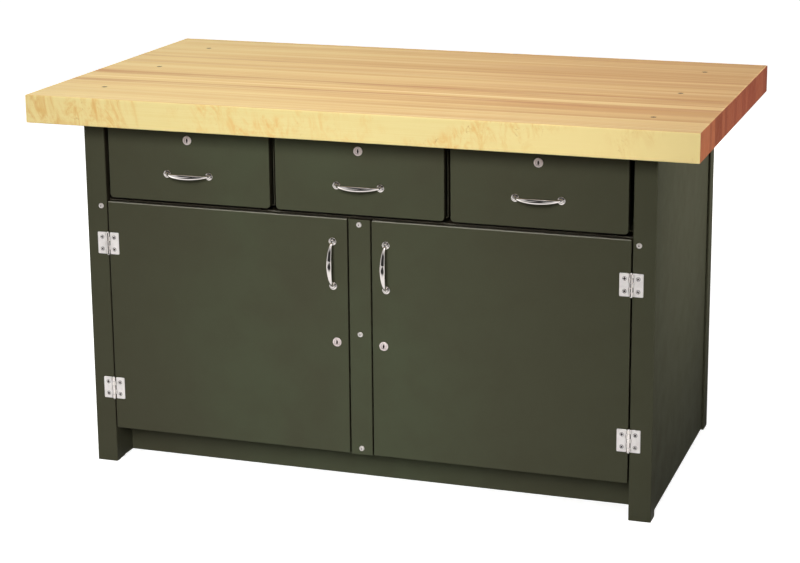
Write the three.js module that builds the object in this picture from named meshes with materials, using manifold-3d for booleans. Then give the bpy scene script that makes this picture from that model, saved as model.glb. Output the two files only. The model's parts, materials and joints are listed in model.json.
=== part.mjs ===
// Cabinet workbench: a laminated hardwood top on a folded sheet-steel cabinet with three
// drawers side by side and two doors below them. Millimetres, +Z up, front towards -Y.
// The origin is on the floor under the middle of the top.

import * as THREE from "three";
import { mergeVertices } from "three/addons/utils/BufferGeometryUtils.js";
import Module from "manifold-3d";

const wasm = await Module();
wasm.setup();

// Worktop
const TOP_LENGTH = 1524;
const TOP_DEPTH = 860;
const TOP_THICKNESS = 64;
const TOP_EDGE_ROUND = 2;
const SIDE_OVERHANG = 101;
const FRONT_OVERHANG = 77;
const REAR_OVERHANG = 120;

// Cabinet shell
const CABINET_HEIGHT = 815;
const POST_FACE = 50;
const POST_SIDE = 43;
const POST_SHEET = 2;
const PANEL_SHEET = 1.5;
const PANEL_RECESS = 6;
const PANEL_LAP = 12;
const FRAME_DEPTH = 18;
const MULLION_WIDTH = 51;
const KICK_HEIGHT = 84;
const KICK_SETBACK = 82;
const PAN_LIP = 28;
const SHELF_HEIGHT = 378;
const SHELF_FLANGE = 26;
const BED_DROP = 8;
const BED_FLANGE = 27;
const HEADER_DROP = 12;
const HEADER_FLANGE = 30;
const BACK_FLANGE = 25;

// Doors and drawer fronts
const FRONT_SHEET = 1.5;
const FRONT_DEPTH = 17;
const FRONT_EDGE_ROUND = 2;
const DOOR_GAP = 3;
const DOOR_CORNER = 3;
const RAIL_GAP = 10;
const STIFFENER_WIDTH = 60;
const STIFFENER_DEPTH = 12;
const STIFFENER_FLANGE = 16;
const STIFFENER_END_GAP = 25;
const DRAWER_COUNT = 3;
const DRAWER_GAP = 14;
const DRAWER_END_GAP = 10.5;
const DRAWER_TOP_GAP = 7;
const DRAWER_FRONT_HEIGHT = 171;
const DRAWER_CORNER = 9;

// Drawer bodies and the runners that carry them
const DRAWER_SHEET = 1.2;
const DRAWER_LENGTH = 520;
const DRAWER_INSET = 12;
const DRAWER_LIFT = 5;
const DRAWER_SIDE_HEIGHT = 150;
const DRAWER_HEM = 6;
const DIVIDER_WIDTH = 10;
const RUNNER_REACH = 20;
const RUNNER_WALL = 36;

// Butt hinges
const HINGE_HEIGHT = 51;
const HINGE_LEAF = 26;
const HINGE_SHEET = 2;
const HINGE_INSET = 98;
const KNUCKLE_COUNT = 5;
const KNUCKLE_RADIUS = 3.25;
const HINGE_PIN_RADIUS = 1.5;
const HINGE_PIN_HEAD = 1.5;
const HINGE_PIN_PROFILE = [[0.8, 0], [0.56, 0.8], [0, 1]];
const HINGE_CLEARANCE = 0.4;

// Bow pulls
const PULL_CENTRES = 101.6;
const PULL_PROJECTION = 26;
const PULL_WIDTH = 12;
const PULL_BOW_THICKNESS = 7;
const PULL_NECK = 5.4;
const PULL_FOOT_RADIUS = 9;
const PULL_FOOT_HEIGHT = 9;
const PULL_ARCH_REACH = 0.62;
const PULL_FOOT_PROFILE = [[0, 1], [0.34, 0.93], [0.56, 0.7], [0.62, 0.45], [0.92, 0.3], [1, 0.17]];
const DRAWER_PULL_RISE = 64;
const DOOR_PULL_DROP = 104;
const DOOR_PULL_INSET = 33.5;

// Cam locks
const LOCK_FACE_RADIUS = 10.3;
const LOCK_FACE_THICKNESS = 2.6;
const LOCK_FACE_EASE = 0.9;
const LOCK_BARREL_RADIUS = 8.5;
const LOCK_LENGTH = 22;
const LOCK_HOLE_CLEARANCE = 0.5;
const PLUG_RADIUS = 6;
const PLUG_CLEARANCE = 0.4;
const KEYWAY_WIDTH = 1.8;
const KEYWAY_HEIGHT = 7.5;
const KEYWAY_DEPTH = 6;
const CAM_WIDTH = 12;
const CAM_SHEET = 2;
const DRAWER_CAM = 30;
const DOOR_CAM = 40;
const DRAWER_LOCK_DROP = 28;
const DOOR_LOCK_INSET = 26.5;
const DOOR_LOCK_RISE = 259;

// Bolts that hold the rails to the front frame
const BOLT_HEAD_RADIUS = 6.2;
const BOLT_HEAD_HEIGHT = 3.2;
const BOLT_HEAD_PROFILE = [[0.6, 0.85], [0.88, 0.5], [1, 0]];
const BOLT_DIMPLE_RADIUS = 1.6;
const BOLT_DIMPLE_DEPTH = 0.8;
const BOLT_RADIUS = 3.1;
const BOLT_CLEARANCE = 0.4;
const BOLT_TAIL = 5;
const POST_BOLT_INSET = 13.5;

// Fits shared by all pieces
const BEND_RADIUS = 1.5;
const SEAT_GAP = 0.3;
const FLOOR_GAP = 3;
const OVERRUN = 5;
const WELD_TOLERANCE = 0.001;
const LEAST_CORNER = 0.2;

// Facets on round forms
const BEND_STEPS = 2;
const CORNER_STEPS = 2;
const KNUCKLE_SIDES = 12;
const LOCK_SIDES = 16;
const BOLT_SIDES = 12;
const FOOT_SIDES = 12;
const BOW_SIDES = 8;
const BOW_STEPS = 14;

// Places worked out from the sizes above
const cabinetHalf = TOP_LENGTH / 2 - SIDE_OVERHANG;
const frontY = -TOP_DEPTH / 2 + FRONT_OVERHANG;
const rearY = TOP_DEPTH / 2 - REAR_OVERHANG;
const steelTop = CABINET_HEIGHT - SEAT_GAP;
const openingHalf = cabinetHalf - POST_FACE;
const panelOuter = cabinetHalf - PANEL_RECESS;
const insideHalf = panelOuter - PANEL_SHEET - SEAT_GAP;
const railY = frontY + FRAME_DEPTH + SEAT_GAP;
const behindRailY = railY + PANEL_SHEET + SEAT_GAP;
const backY = rearY - PANEL_RECESS - PANEL_SHEET;
const insideRearY = backY - SEAT_GAP;
const drawerTop = CABINET_HEIGHT - DRAWER_TOP_GAP;
const drawerBottom = drawerTop - DRAWER_FRONT_HEIGHT;
const doorTop = drawerBottom - RAIL_GAP;
const doorBottom = KICK_HEIGHT;
const doorHeight = doorTop - doorBottom;
const bedTop = drawerBottom - BED_DROP;
const mullionHalf = MULLION_WIDTH / 2;
const doorInner = mullionHalf + DOOR_GAP;
const doorOuter = openingHalf - DOOR_GAP;
const doorWidth = doorOuter - doorInner;
const hingeX = openingHalf - DOOR_GAP / 2;
const hingeY = frontY - SEAT_GAP - KNUCKLE_RADIUS;
const drawerRowWidth = 2 * (openingHalf - DRAWER_END_GAP);
const drawerWidth = (drawerRowWidth - (DRAWER_COUNT - 1) * DRAWER_GAP) / DRAWER_COUNT;
const drawerPitch = drawerWidth + DRAWER_GAP;
const drawerHalf = drawerWidth / 2 - DRAWER_INSET;
const ledgeTop = drawerBottom + DRAWER_LIFT - SEAT_GAP;
const plugBack = LOCK_LENGTH + SEAT_GAP + CAM_SHEET;

const paint = new THREE.MeshStandardMaterial({ color: 0x4a4c3b, roughness: 0.45, metalness: 0.1 });
const maple = new THREE.MeshStandardMaterial({ color: 0xd3a568, roughness: 0.5, metalness: 0 });
const chrome = new THREE.MeshStandardMaterial({ color: 0xdcdcdc, roughness: 0.12, metalness: 1 });
const zinc = new THREE.MeshStandardMaterial({ color: 0xc8c6c0, roughness: 0.35, metalness: 0.9 });

const bench = new THREE.Group();

function place(parent, name, geometry, material) {
  const mesh = new THREE.Mesh(geometry, material);
  mesh.name = name;
  parent.add(mesh);
  return mesh;
}

// Joining and cutting closed meshes
function toSolid(geometry) {
  const bare = geometry.clone();
  bare.deleteAttribute("normal");
  bare.deleteAttribute("uv");
  const merged = mergeVertices(bare, WELD_TOLERANCE);
  const vertProperties = new Float32Array(merged.attributes.position.array);
  const triVerts = new Uint32Array(merged.index.array);
  return new wasm.Manifold(new wasm.Mesh({ numProp: 3, vertProperties, triVerts }));
}

function toGeometry(solid) {
  const mesh = solid.getMesh();
  const geometry = new THREE.BufferGeometry();
  geometry.setAttribute("position", new THREE.BufferAttribute(mesh.vertProperties, 3));
  geometry.setIndex(new THREE.BufferAttribute(mesh.triVerts, 1));
  geometry.computeVertexNormals();
  return geometry;
}

function join(first, ...others) {
  return toGeometry(others.reduce((solid, other) => solid.add(toSolid(other)), toSolid(first)));
}

function cut(first, ...others) {
  return toGeometry(others.reduce((solid, other) => solid.subtract(toSolid(other)), toSolid(first)));
}

// Prisms: the outline is drawn in plan (x, y), in front view (x, z) or in side view (y, z)
function extrude(outline, depth, steps) {
  return new THREE.ExtrudeGeometry(outline, { depth, bevelEnabled: false, curveSegments: steps });
}

function prismUp(outline, low, high, steps = BEND_STEPS) {
  return extrude(outline, high - low, steps).translate(0, 0, low);
}

function prismBack(outline, front, back, steps = BEND_STEPS) {
  return extrude(outline, back - front, steps).rotateX(Math.PI / 2).translate(0, back, 0);
}

function prismAcross(outline, left, right, steps = BEND_STEPS) {
  const sideView = new THREE.Matrix4().makeBasis(
    new THREE.Vector3(0, 1, 0),
    new THREE.Vector3(0, 0, 1),
    new THREE.Vector3(1, 0, 0),
  );
  return extrude(outline, right - left, steps).applyMatrix4(sideView).translate(left, 0, 0);
}

function rectangle(left, bottom, right, top) {
  const outline = new THREE.Shape();
  outline.moveTo(left, bottom);
  outline.lineTo(right, bottom);
  outline.lineTo(right, top);
  outline.lineTo(left, top);
  outline.closePath();
  return outline;
}

// Upright rectangle centred on x = 0 with its foot at v = 0, inset all round, and round corners
function panelOutline(width, height, inset, bottomRadius, topRadius) {
  const half = width / 2 - inset;
  const low = Math.max(bottomRadius - inset, LEAST_CORNER);
  const high = Math.max(topRadius - inset, LEAST_CORNER);
  const top = height - inset;
  const outline = new THREE.Shape();
  outline.moveTo(half - low, inset);
  outline.absarc(half - low, inset + low, low, -Math.PI / 2, 0, false);
  outline.lineTo(half, top - high);
  outline.absarc(half - high, top - high, high, 0, Math.PI / 2, false);
  outline.lineTo(-half + high, top);
  outline.absarc(-half + high, top - high, high, Math.PI / 2, Math.PI, false);
  outline.lineTo(-half, inset + low);
  outline.absarc(-half + low, inset + low, low, Math.PI, 1.5 * Math.PI, false);
  outline.closePath();
  return outline;
}

// Sheet metal folded along a line of points: the sheet lies to the left of the line,
// and every corner is bent with the same inside radius
function roundCorner(outline, before, corner, after, radius) {
  const arrive = corner.clone().sub(before).normalize();
  const leave = after.clone().sub(corner).normalize();
  const turn = Math.sign(arrive.cross(leave));
  const angle = Math.acos(arrive.dot(leave));
  const start = corner.clone().addScaledVector(arrive, -radius * Math.tan(angle / 2));
  const inward = new THREE.Vector2(-arrive.y, arrive.x).multiplyScalar(turn);
  const centre = start.clone().addScaledVector(inward, radius);
  const from = Math.atan2(-inward.y, -inward.x);
  outline.lineTo(start.x, start.y);
  outline.absarc(centre.x, centre.y, radius, from, from + turn * angle, turn < 0);
}

function traceBends(outline, line, radii) {
  const last = line.length - 1;
  for (let i = 1; i < last; i += 1) {
    roundCorner(outline, line[i - 1], line[i], line[i + 1], radii[i]);
  }
  outline.lineTo(line[last].x, line[last].y);
}

function foldedSheet(face, sheet) {
  const line = face.map(([u, v]) => new THREE.Vector2(u, v));
  const last = line.length - 1;
  const heading = (i) => line[i + 1].clone().sub(line[i]).normalize();
  const leftOf = (i) => new THREE.Vector2(-heading(i).y, heading(i).x);
  const farSide = line.map((point, i) => {
    const before = leftOf(Math.max(i - 1, 0));
    const after = leftOf(Math.min(i, last - 1));
    const mitre = before.clone().add(after).multiplyScalar(sheet / (1 + before.dot(after)));
    return point.clone().add(mitre);
  });
  const turnsLeft = line.map((_, i) => i > 0 && i < last && heading(i - 1).cross(heading(i)) > 0);
  const outer = BEND_RADIUS + sheet;
  const nearRadii = turnsLeft.map((left) => (left ? outer : BEND_RADIUS));
  const farRadii = turnsLeft.map((left) => (left ? BEND_RADIUS : outer));
  const outline = new THREE.Shape();
  outline.moveTo(line[0].x, line[0].y);
  traceBends(outline, line, nearRadii);
  outline.lineTo(farSide[last].x, farSide[last].y);
  traceBends(outline, farSide.reverse(), farRadii.reverse());
  outline.closePath();
  return outline;
}

// A line drawn for the left side of the cabinet, turned over for the right side
function onSide(side, line) {
  return side < 0 ? line : line.map(([u, v]) => [-u, v]).reverse();
}

// Round forms about a front-to-back axis: profile points are [radius, y] in rising y
function turned(profile, sides) {
  return new THREE.LatheGeometry(profile.map(([r, y]) => new THREE.Vector2(r, y)), sides);
}

function rod(radius, front, back, sides) {
  return turned([[0, front], [radius, front], [radius, back], [0, back]], sides);
}

function uprightRod(radius, low, high, sides) {
  return new THREE.CylinderGeometry(radius, radius, high - low, sides)
    .rotateX(Math.PI / 2)
    .translate(0, 0, (low + high) / 2);
}

const sides = [
  { name: "left", sign: -1 },
  { name: "right", sign: 1 },
];

// Worktop: one slab with eased edges
function worktop() {
  const inset = TOP_EDGE_ROUND;
  const outline = rectangle(
    -TOP_LENGTH / 2 + inset,
    -TOP_DEPTH / 2 + inset,
    TOP_LENGTH / 2 - inset,
    TOP_DEPTH / 2 - inset,
  );
  const slab = new THREE.ExtrudeGeometry(outline, {
    depth: TOP_THICKNESS - 2 * inset,
    bevelThickness: inset,
    bevelSize: inset,
    bevelSegments: 2,
  });
  return slab.translate(0, 0, CABINET_HEIGHT + inset);
}

// Corner posts: folded channels with a lip that meets the recessed side panel, closed by a foot plate
// and by a bearing plate under the worktop; the front ones have a sill level with the cupboard floor
function boltHole(x, z) {
  const hole = rod(BOLT_RADIUS + BOLT_CLEARANCE, frontY - OVERRUN, behindRailY + OVERRUN, BOLT_SIDES);
  return hole.translate(x, 0, z);
}

function postPlates(side, front, back) {
  const inset = POST_SHEET / 2;
  const outer = side * (cabinetHalf - inset);
  const inner = side * (openingHalf + inset);
  const plan = rectangle(Math.min(outer, inner), front + inset, Math.max(outer, inner), back - inset);
  return [prismUp(plan, 0, POST_SHEET), prismUp(plan, steelTop - POST_SHEET, steelTop)];
}

function postSill(side) {
  const inset = POST_SHEET / 2;
  const outer = side * insideHalf;
  const inner = side * (openingHalf + inset);
  const back = frontY + FRAME_DEPTH;
  const plan = rectangle(Math.min(outer, inner), frontY + inset, Math.max(outer, inner), back);
  return prismUp(plan, KICK_HEIGHT - POST_SHEET, KICK_HEIGHT);
}

const lip = PANEL_RECESS - SEAT_GAP;
const frameBoltZ = bedTop - BED_FLANGE / 2;
const postBoltX = openingHalf + POST_BOLT_INSET;

function frontPost(side) {
  const plan = foldedSheet(onSide(side, [
    [-cabinetHalf + lip, frontY + POST_SIDE],
    [-cabinetHalf, frontY + POST_SIDE],
    [-cabinetHalf, frontY],
    [-openingHalf, frontY],
    [-openingHalf, frontY + FRAME_DEPTH],
  ]), POST_SHEET);
  const plates = [...postPlates(side, frontY, frontY + POST_SIDE), postSill(side)];
  return cut(join(prismUp(plan, 0, steelTop), ...plates), boltHole(side * postBoltX, frameBoltZ));
}

function rearPost(side) {
  const plan = foldedSheet(onSide(side, [
    [-openingHalf, rearY - lip],
    [-openingHalf, rearY],
    [-cabinetHalf, rearY],
    [-cabinetHalf, rearY - POST_SIDE],
    [-cabinetHalf + lip, rearY - POST_SIDE],
  ]), POST_SHEET);
  return join(prismUp(plan, 0, steelTop), ...postPlates(side, rearY - POST_SIDE, rearY));
}

// Side panel: its ends lap inside the posts, and its top edge is folded in under the worktop
function sidePanel(side) {
  const folded = foldedSheet(onSide(side, [
    [-openingHalf, steelTop],
    [-panelOuter, steelTop],
    [-panelOuter, FLOOR_GAP],
  ]), PANEL_SHEET);
  const outer = side * panelOuter;
  const inner = side * (panelOuter - PANEL_SHEET);
  const underPlates = steelTop - POST_SHEET - SEAT_GAP;
  const web = rectangle(Math.min(outer, inner), FLOOR_GAP, Math.max(outer, inner), underPlates);
  const between = prismBack(folded, frontY + POST_SIDE + SEAT_GAP, rearY - POST_SIDE - SEAT_GAP);
  const lapped = prismBack(web, frontY + PANEL_LAP, insideRearY);
  return join(between, lapped);
}

// Back panel: laps inside the rear posts, with its top edge folded forward between their plates
function backPanel() {
  const folded = foldedSheet([
    [backY + PANEL_SHEET, KICK_HEIGHT],
    [backY + PANEL_SHEET, steelTop],
    [backY - BACK_FLANGE, steelTop],
  ], PANEL_SHEET);
  const web = rectangle(backY, FLOOR_GAP, backY + PANEL_SHEET, steelTop - POST_SHEET - SEAT_GAP);
  const flangeHalf = openingHalf - SEAT_GAP;
  return join(prismAcross(folded, -flangeHalf, flangeHalf), prismAcross(web, -insideHalf, insideHalf));
}

// Floor, shelf and drawer bed: full-width sheets with folded front and rear edges
function bottomPan() {
  const underside = KICK_HEIGHT - PANEL_SHEET;
  const lipTop = KICK_HEIGHT + PAN_LIP;
  const section = foldedSheet([
    [railY, lipTop],
    [railY, underside],
    [insideRearY, underside],
    [insideRearY, lipTop],
  ], PANEL_SHEET);
  return cut(prismAcross(section, -insideHalf, insideHalf), boltHole(0, panBoltZ));
}

function flangedSheet(top, flange, holes) {
  const section = foldedSheet([
    [insideRearY, top - flange],
    [insideRearY, top],
    [railY, top],
    [railY, top - flange],
  ], PANEL_SHEET);
  return cut(prismAcross(section, -insideHalf, insideHalf), ...holes);
}

const panBoltZ = KICK_HEIGHT + PAN_LIP / 2;
const shelfBoltZ = SHELF_HEIGHT - SHELF_FLANGE / 2;

// Kick plate: set back under the doors, with ends folded forward to the posts
function kickPlate() {
  const endY = frontY + FRAME_DEPTH + SEAT_GAP;
  const plateY = frontY + KICK_SETBACK;
  const plan = foldedSheet([
    [-openingHalf, endY],
    [-openingHalf, plateY],
    [openingHalf, plateY],
    [openingHalf, endY],
  ], PANEL_SHEET);
  return prismUp(plan, FLOOR_GAP, KICK_HEIGHT - PANEL_SHEET - SEAT_GAP);
}

// Mullion between the doors: a channel with closed ends, bolted to the floor, shelf and drawer bed
function centreMullion() {
  const plan = foldedSheet([
    [-mullionHalf, frontY + FRAME_DEPTH],
    [-mullionHalf, frontY],
    [mullionHalf, frontY],
    [mullionHalf, frontY + FRAME_DEPTH],
  ], PANEL_SHEET);
  const inset = PANEL_SHEET / 2;
  const capHalf = mullionHalf - inset;
  const cap = rectangle(-capHalf, frontY + inset, capHalf, frontY + FRAME_DEPTH);
  const caps = [
    prismUp(cap, doorBottom, doorBottom + PANEL_SHEET),
    prismUp(cap, doorTop - PANEL_SHEET, doorTop),
  ];
  const holes = [frameBoltZ, shelfBoltZ, panBoltZ].map((z) => boltHole(0, z));
  return cut(join(prismUp(plan, doorBottom, doorTop), ...caps), ...holes);
}

// Header over the drawers: the drawer locks catch behind its turned-down edge
function header() {
  const section = foldedSheet([
    [railY + HEADER_FLANGE, steelTop],
    [railY, steelTop],
    [railY, steelTop - HEADER_DROP],
  ], PANEL_SHEET);
  const half = openingHalf - POST_SHEET;
  return prismAcross(section, -half, half);
}

// Drawer dividers and end runners: ledges on folded feet that stand on the drawer bed
const bedSeat = bedTop + SEAT_GAP;

function drawerDivider() {
  const web = DIVIDER_WIDTH / 2;
  const ledge = drawerPitch / 2 - drawerHalf + RUNNER_REACH;
  const top = steelTop - PANEL_SHEET - BEND_RADIUS;
  const section = foldedSheet([
    [ledge, bedSeat],
    [ledge, ledgeTop],
    [web, ledgeTop],
    [web, top],
    [-web, top],
    [-web, ledgeTop],
    [-ledge, ledgeTop],
    [-ledge, bedSeat],
  ], PANEL_SHEET);
  return prismBack(section, behindRailY, insideRearY);
}

function endRunner(side) {
  const ledge = ((DRAWER_COUNT - 1) / 2) * drawerPitch + drawerHalf - RUNNER_REACH;
  const section = foldedSheet(onSide(side, [
    [-insideHalf, ledgeTop + RUNNER_WALL],
    [-insideHalf, ledgeTop - PANEL_SHEET],
    [-ledge, ledgeTop - PANEL_SHEET],
    [-ledge, bedSeat],
  ]), PANEL_SHEET);
  return prismBack(section, behindRailY, insideRearY);
}

// Dished pan with folded edges, front face at y = 0, foot at z = 0, centred on x = 0
function facePan(width, height, bottomRadius, topRadius) {
  const round = FRONT_EDGE_ROUND;
  const outline = panelOutline(width, height, round, bottomRadius, topRadius);
  const block = new THREE.ExtrudeGeometry(outline, {
    depth: FRONT_DEPTH,
    bevelThickness: round,
    bevelSize: round,
    bevelSegments: 2,
    curveSegments: CORNER_STEPS,
  });
  block.rotateX(Math.PI / 2).translate(0, FRONT_DEPTH + round, 0);
  const hollow = panelOutline(width, height, FRONT_SHEET, bottomRadius, topRadius);
  const rearTrim = rectangle(-width, -height, width, 2 * height);
  const trimBack = FRONT_DEPTH + 2 * round + OVERRUN;
  return cut(
    block,
    prismBack(hollow, FRONT_SHEET, trimBack, CORNER_STEPS),
    prismBack(rearTrim, FRONT_DEPTH, trimBack),
  );
}

function lockHole(x, z) {
  const radius = LOCK_BARREL_RADIUS + LOCK_HOLE_CLEARANCE;
  return rod(radius, -OVERRUN, FRONT_SHEET + OVERRUN, LOCK_SIDES).translate(x, 0, z);
}

// Drawer body: bottom and hemmed sides folded from one sheet, with a back wall
function drawerBody() {
  const top = DRAWER_LIFT + DRAWER_SIDE_HEIGHT;
  const front = FRONT_SHEET + SEAT_GAP;
  const trough = foldedSheet([
    [-drawerHalf - DRAWER_HEM, top - DRAWER_SHEET],
    [-drawerHalf, top - DRAWER_SHEET],
    [-drawerHalf, DRAWER_LIFT],
    [drawerHalf, DRAWER_LIFT],
    [drawerHalf, top - DRAWER_SHEET],
    [drawerHalf + DRAWER_HEM, top - DRAWER_SHEET],
  ], DRAWER_SHEET);
  const inset = DRAWER_SHEET / 2;
  const wall = rectangle(-drawerHalf + inset, DRAWER_LIFT + inset, drawerHalf - inset, top);
  return join(
    prismBack(trough, front, front + DRAWER_LENGTH),
    prismBack(wall, front + DRAWER_LENGTH - DRAWER_SHEET, front + DRAWER_LENGTH),
  );
}

// Bow pull: an arched oval bar, widest in the middle, on two domed feet; it lies along x
function bowBar() {
  const half = PULL_CENTRES / 2;
  const footY = -PULL_FOOT_HEIGHT / 2;
  const archY = (-4 * PULL_PROJECTION - footY) / 3;
  const arch = new THREE.CubicBezierCurve3(
    new THREE.Vector3(-half, footY, 0),
    new THREE.Vector3(-half * PULL_ARCH_REACH, archY, 0),
    new THREE.Vector3(half * PULL_ARCH_REACH, archY, 0),
    new THREE.Vector3(half, footY, 0),
  );
  const positions = [];
  const faces = [];
  for (let step = 0; step <= BOW_STEPS; step += 1) {
    const along = step / BOW_STEPS;
    const swell = Math.sin(Math.PI * along);
    const wide = (PULL_NECK + (PULL_WIDTH - PULL_NECK) * swell) / 2;
    const thick = (PULL_NECK + (PULL_BOW_THICKNESS - PULL_NECK) * swell) / 2;
    const centre = arch.getPoint(along);
    const tangent = arch.getTangent(along);
    for (let side = 0; side < BOW_SIDES; side += 1) {
      const angle = (2 * Math.PI * side) / BOW_SIDES;
      const out = thick * Math.cos(angle);
      positions.push(centre.x + tangent.y * out, centre.y - tangent.x * out, wide * Math.sin(angle));
    }
  }
  for (let step = 0; step < BOW_STEPS; step += 1) {
    for (let side = 0; side < BOW_SIDES; side += 1) {
      const next = (side + 1) % BOW_SIDES;
      const near = step * BOW_SIDES;
      const far = near + BOW_SIDES;
      faces.push(near + side, far + side, far + next, near + side, far + next, near + next);
    }
  }
  const lastRing = BOW_STEPS * BOW_SIDES;
  for (let side = 1; side < BOW_SIDES - 1; side += 1) {
    faces.push(0, side, side + 1);
    faces.push(lastRing, lastRing + side + 1, lastRing + side);
  }
  const bar = new THREE.BufferGeometry();
  bar.setAttribute("position", new THREE.Float32BufferAttribute(positions, 3));
  bar.setIndex(faces);
  return bar;
}

function pullFoot(x) {
  const dome = PULL_FOOT_PROFILE.map(([r, h]) => [r * PULL_FOOT_RADIUS, -h * PULL_FOOT_HEIGHT]);
  const seat = [[PULL_FOOT_RADIUS, -SEAT_GAP], [0, -SEAT_GAP]];
  return turned([...dome, ...seat], FOOT_SIDES).translate(x, 0, 0);
}

function bowPull() {
  return join(bowBar(), pullFoot(-PULL_CENTRES / 2), pullFoot(PULL_CENTRES / 2));
}

// Cam lock: a flanged barrel, and a plug with a keyway that carries the cam behind it
function lockCase() {
  const bore = PLUG_RADIUS + PLUG_CLEARANCE;
  const face = -SEAT_GAP - LOCK_FACE_THICKNESS;
  const ease = LOCK_FACE_EASE;
  return turned([
    [bore, face],
    [LOCK_FACE_RADIUS - ease, face],
    [LOCK_FACE_RADIUS, face + ease],
    [LOCK_FACE_RADIUS, -SEAT_GAP],
    [LOCK_BARREL_RADIUS, -SEAT_GAP],
    [LOCK_BARREL_RADIUS, LOCK_LENGTH],
    [bore, LOCK_LENGTH],
    [bore, face],
  ], LOCK_SIDES);
}

function lockPlug(camLength, camTurn) {
  const face = -SEAT_GAP - LOCK_FACE_THICKNESS;
  const radius = CAM_WIDTH / 2;
  const cam = new THREE.Shape();
  cam.moveTo(-radius, 0);
  cam.lineTo(-radius, radius - camLength);
  cam.absarc(0, radius - camLength, radius, Math.PI, 2 * Math.PI, false);
  cam.lineTo(radius, 0);
  cam.absarc(0, 0, radius, 0, Math.PI, false);
  const plate = prismBack(cam, LOCK_LENGTH + SEAT_GAP, plugBack, CORNER_STEPS).rotateY(camTurn);
  const barrel = rod(PLUG_RADIUS, face, plugBack, LOCK_SIDES);
  const halfKey = KEYWAY_WIDTH / 2;
  const keyway = rectangle(-halfKey, -KEYWAY_HEIGHT / 2, halfKey, KEYWAY_HEIGHT / 2);
  return cut(join(barrel, plate), prismBack(keyway, face - OVERRUN, face + KEYWAY_DEPTH));
}

// Round-head bolt through the front frame into a rail
function frameBolt() {
  const crown = -SEAT_GAP - BOLT_HEAD_HEIGHT;
  const tail = FRAME_DEPTH + SEAT_GAP + PANEL_SHEET + BOLT_TAIL;
  const dome = BOLT_HEAD_PROFILE.map(([r, h]) => [r * BOLT_HEAD_RADIUS, crown + (1 - h) * BOLT_HEAD_HEIGHT]);
  return turned([
    [0, crown + BOLT_DIMPLE_DEPTH],
    [BOLT_DIMPLE_RADIUS, crown],
    ...dome,
    [BOLT_RADIUS, -SEAT_GAP],
    [BOLT_RADIUS, tail],
    [0, tail],
  ], BOLT_SIDES);
}

// Butt hinge about the z axis: odd knuckles on the frame leaf, even ones on the door leaf.
// The leaf runs towards +x or -x from the pin, and the hinge is centred on z = 0.
function hingeLeaf(direction, onFrame) {
  const back = KNUCKLE_RADIUS;
  const half = HINGE_HEIGHT / 2;
  const pitch = HINGE_HEIGHT / KNUCKLE_COUNT;
  const gap = HINGE_CLEARANCE / 2;
  const edge = direction * HINGE_LEAF;
  const plan = rectangle(Math.min(0, edge), back - HINGE_SHEET, Math.max(0, edge), back);
  const own = [];
  const free = [];
  for (let i = 0; i < KNUCKLE_COUNT; i += 1) {
    const low = -half + i * pitch;
    const carried = (i % 2 === 0) === onFrame;
    if (carried) {
      const bottom = i === 0 ? low : low + gap;
      const top = i === KNUCKLE_COUNT - 1 ? low + pitch : low + pitch - gap;
      own.push(uprightRod(KNUCKLE_RADIUS, bottom, top, KNUCKLE_SIDES));
    } else {
      const bottom = i === 0 ? low - OVERRUN : low - gap;
      const top = i === KNUCKLE_COUNT - 1 ? low + pitch + OVERRUN : low + pitch + gap;
      free.push(uprightRod(KNUCKLE_RADIUS + HINGE_CLEARANCE, bottom, top, KNUCKLE_SIDES));
    }
  }
  const bore = HINGE_PIN_RADIUS + HINGE_CLEARANCE;
  const pinHole = uprightRod(bore, -half - OVERRUN, half + OVERRUN, KNUCKLE_SIDES);
  const cleared = cut(prismUp(plan, -half, half), ...free);
  return cut(join(cleared, ...own), pinHole);
}

function hingePin() {
  const end = HINGE_HEIGHT / 2 + SEAT_GAP;
  const dome = HINGE_PIN_PROFILE.map(([r, h]) => [r * KNUCKLE_RADIUS, end + h * HINGE_PIN_HEAD]);
  const foot = dome.map(([r, y]) => [r, -y]).reverse();
  const shank = [[HINGE_PIN_RADIUS, -end], [HINGE_PIN_RADIUS, end]];
  return turned([...foot, ...shank, ...dome], KNUCKLE_SIDES).rotateX(Math.PI / 2);
}

// Hat-section stiffener behind the door face, standing from z = 0
function doorStiffener() {
  const y = FRONT_SHEET + SEAT_GAP;
  const half = STIFFENER_WIDTH / 2;
  const plan = foldedSheet([
    [-half - STIFFENER_FLANGE, y],
    [-half, y],
    [-half, y + STIFFENER_DEPTH],
    [half, y + STIFFENER_DEPTH],
    [half, y],
    [half + STIFFENER_FLANGE, y],
  ], PANEL_SHEET);
  return prismUp(plan, STIFFENER_END_GAP, doorHeight - STIFFENER_END_GAP);
}

// Fixed cabinet
place(bench, "worktop", worktop(), maple);
for (const { name, sign } of sides) {
  place(bench, `front_${name}_post`, frontPost(sign), paint);
  place(bench, `rear_${name}_post`, rearPost(sign), paint);
  place(bench, `${name}_side_panel`, sidePanel(sign), paint);
  place(bench, `${name}_end_runner`, endRunner(sign), paint);
}
place(bench, "back_panel", backPanel(), paint);
place(bench, "bottom_pan", bottomPan(), paint);
place(bench, "shelf", flangedSheet(SHELF_HEIGHT, SHELF_FLANGE, [boltHole(0, shelfBoltZ)]), paint);
const bedHoles = [-postBoltX, 0, postBoltX].map((x) => boltHole(x, frameBoltZ));
place(bench, "drawer_bed", flangedSheet(bedTop, BED_FLANGE, bedHoles), paint);
place(bench, "kick_plate", kickPlate(), paint);
place(bench, "center_mullion", centreMullion(), paint);
place(bench, "drawer_header", header(), paint);
const dividers = new THREE.Group();
bench.add(dividers);
for (let i = 1; i < DRAWER_COUNT; i += 1) {
  const divider = place(dividers, `drawer_divider_${i}`, drawerDivider(), paint);
  divider.position.x = (i - DRAWER_COUNT / 2) * drawerPitch;
}

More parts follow.
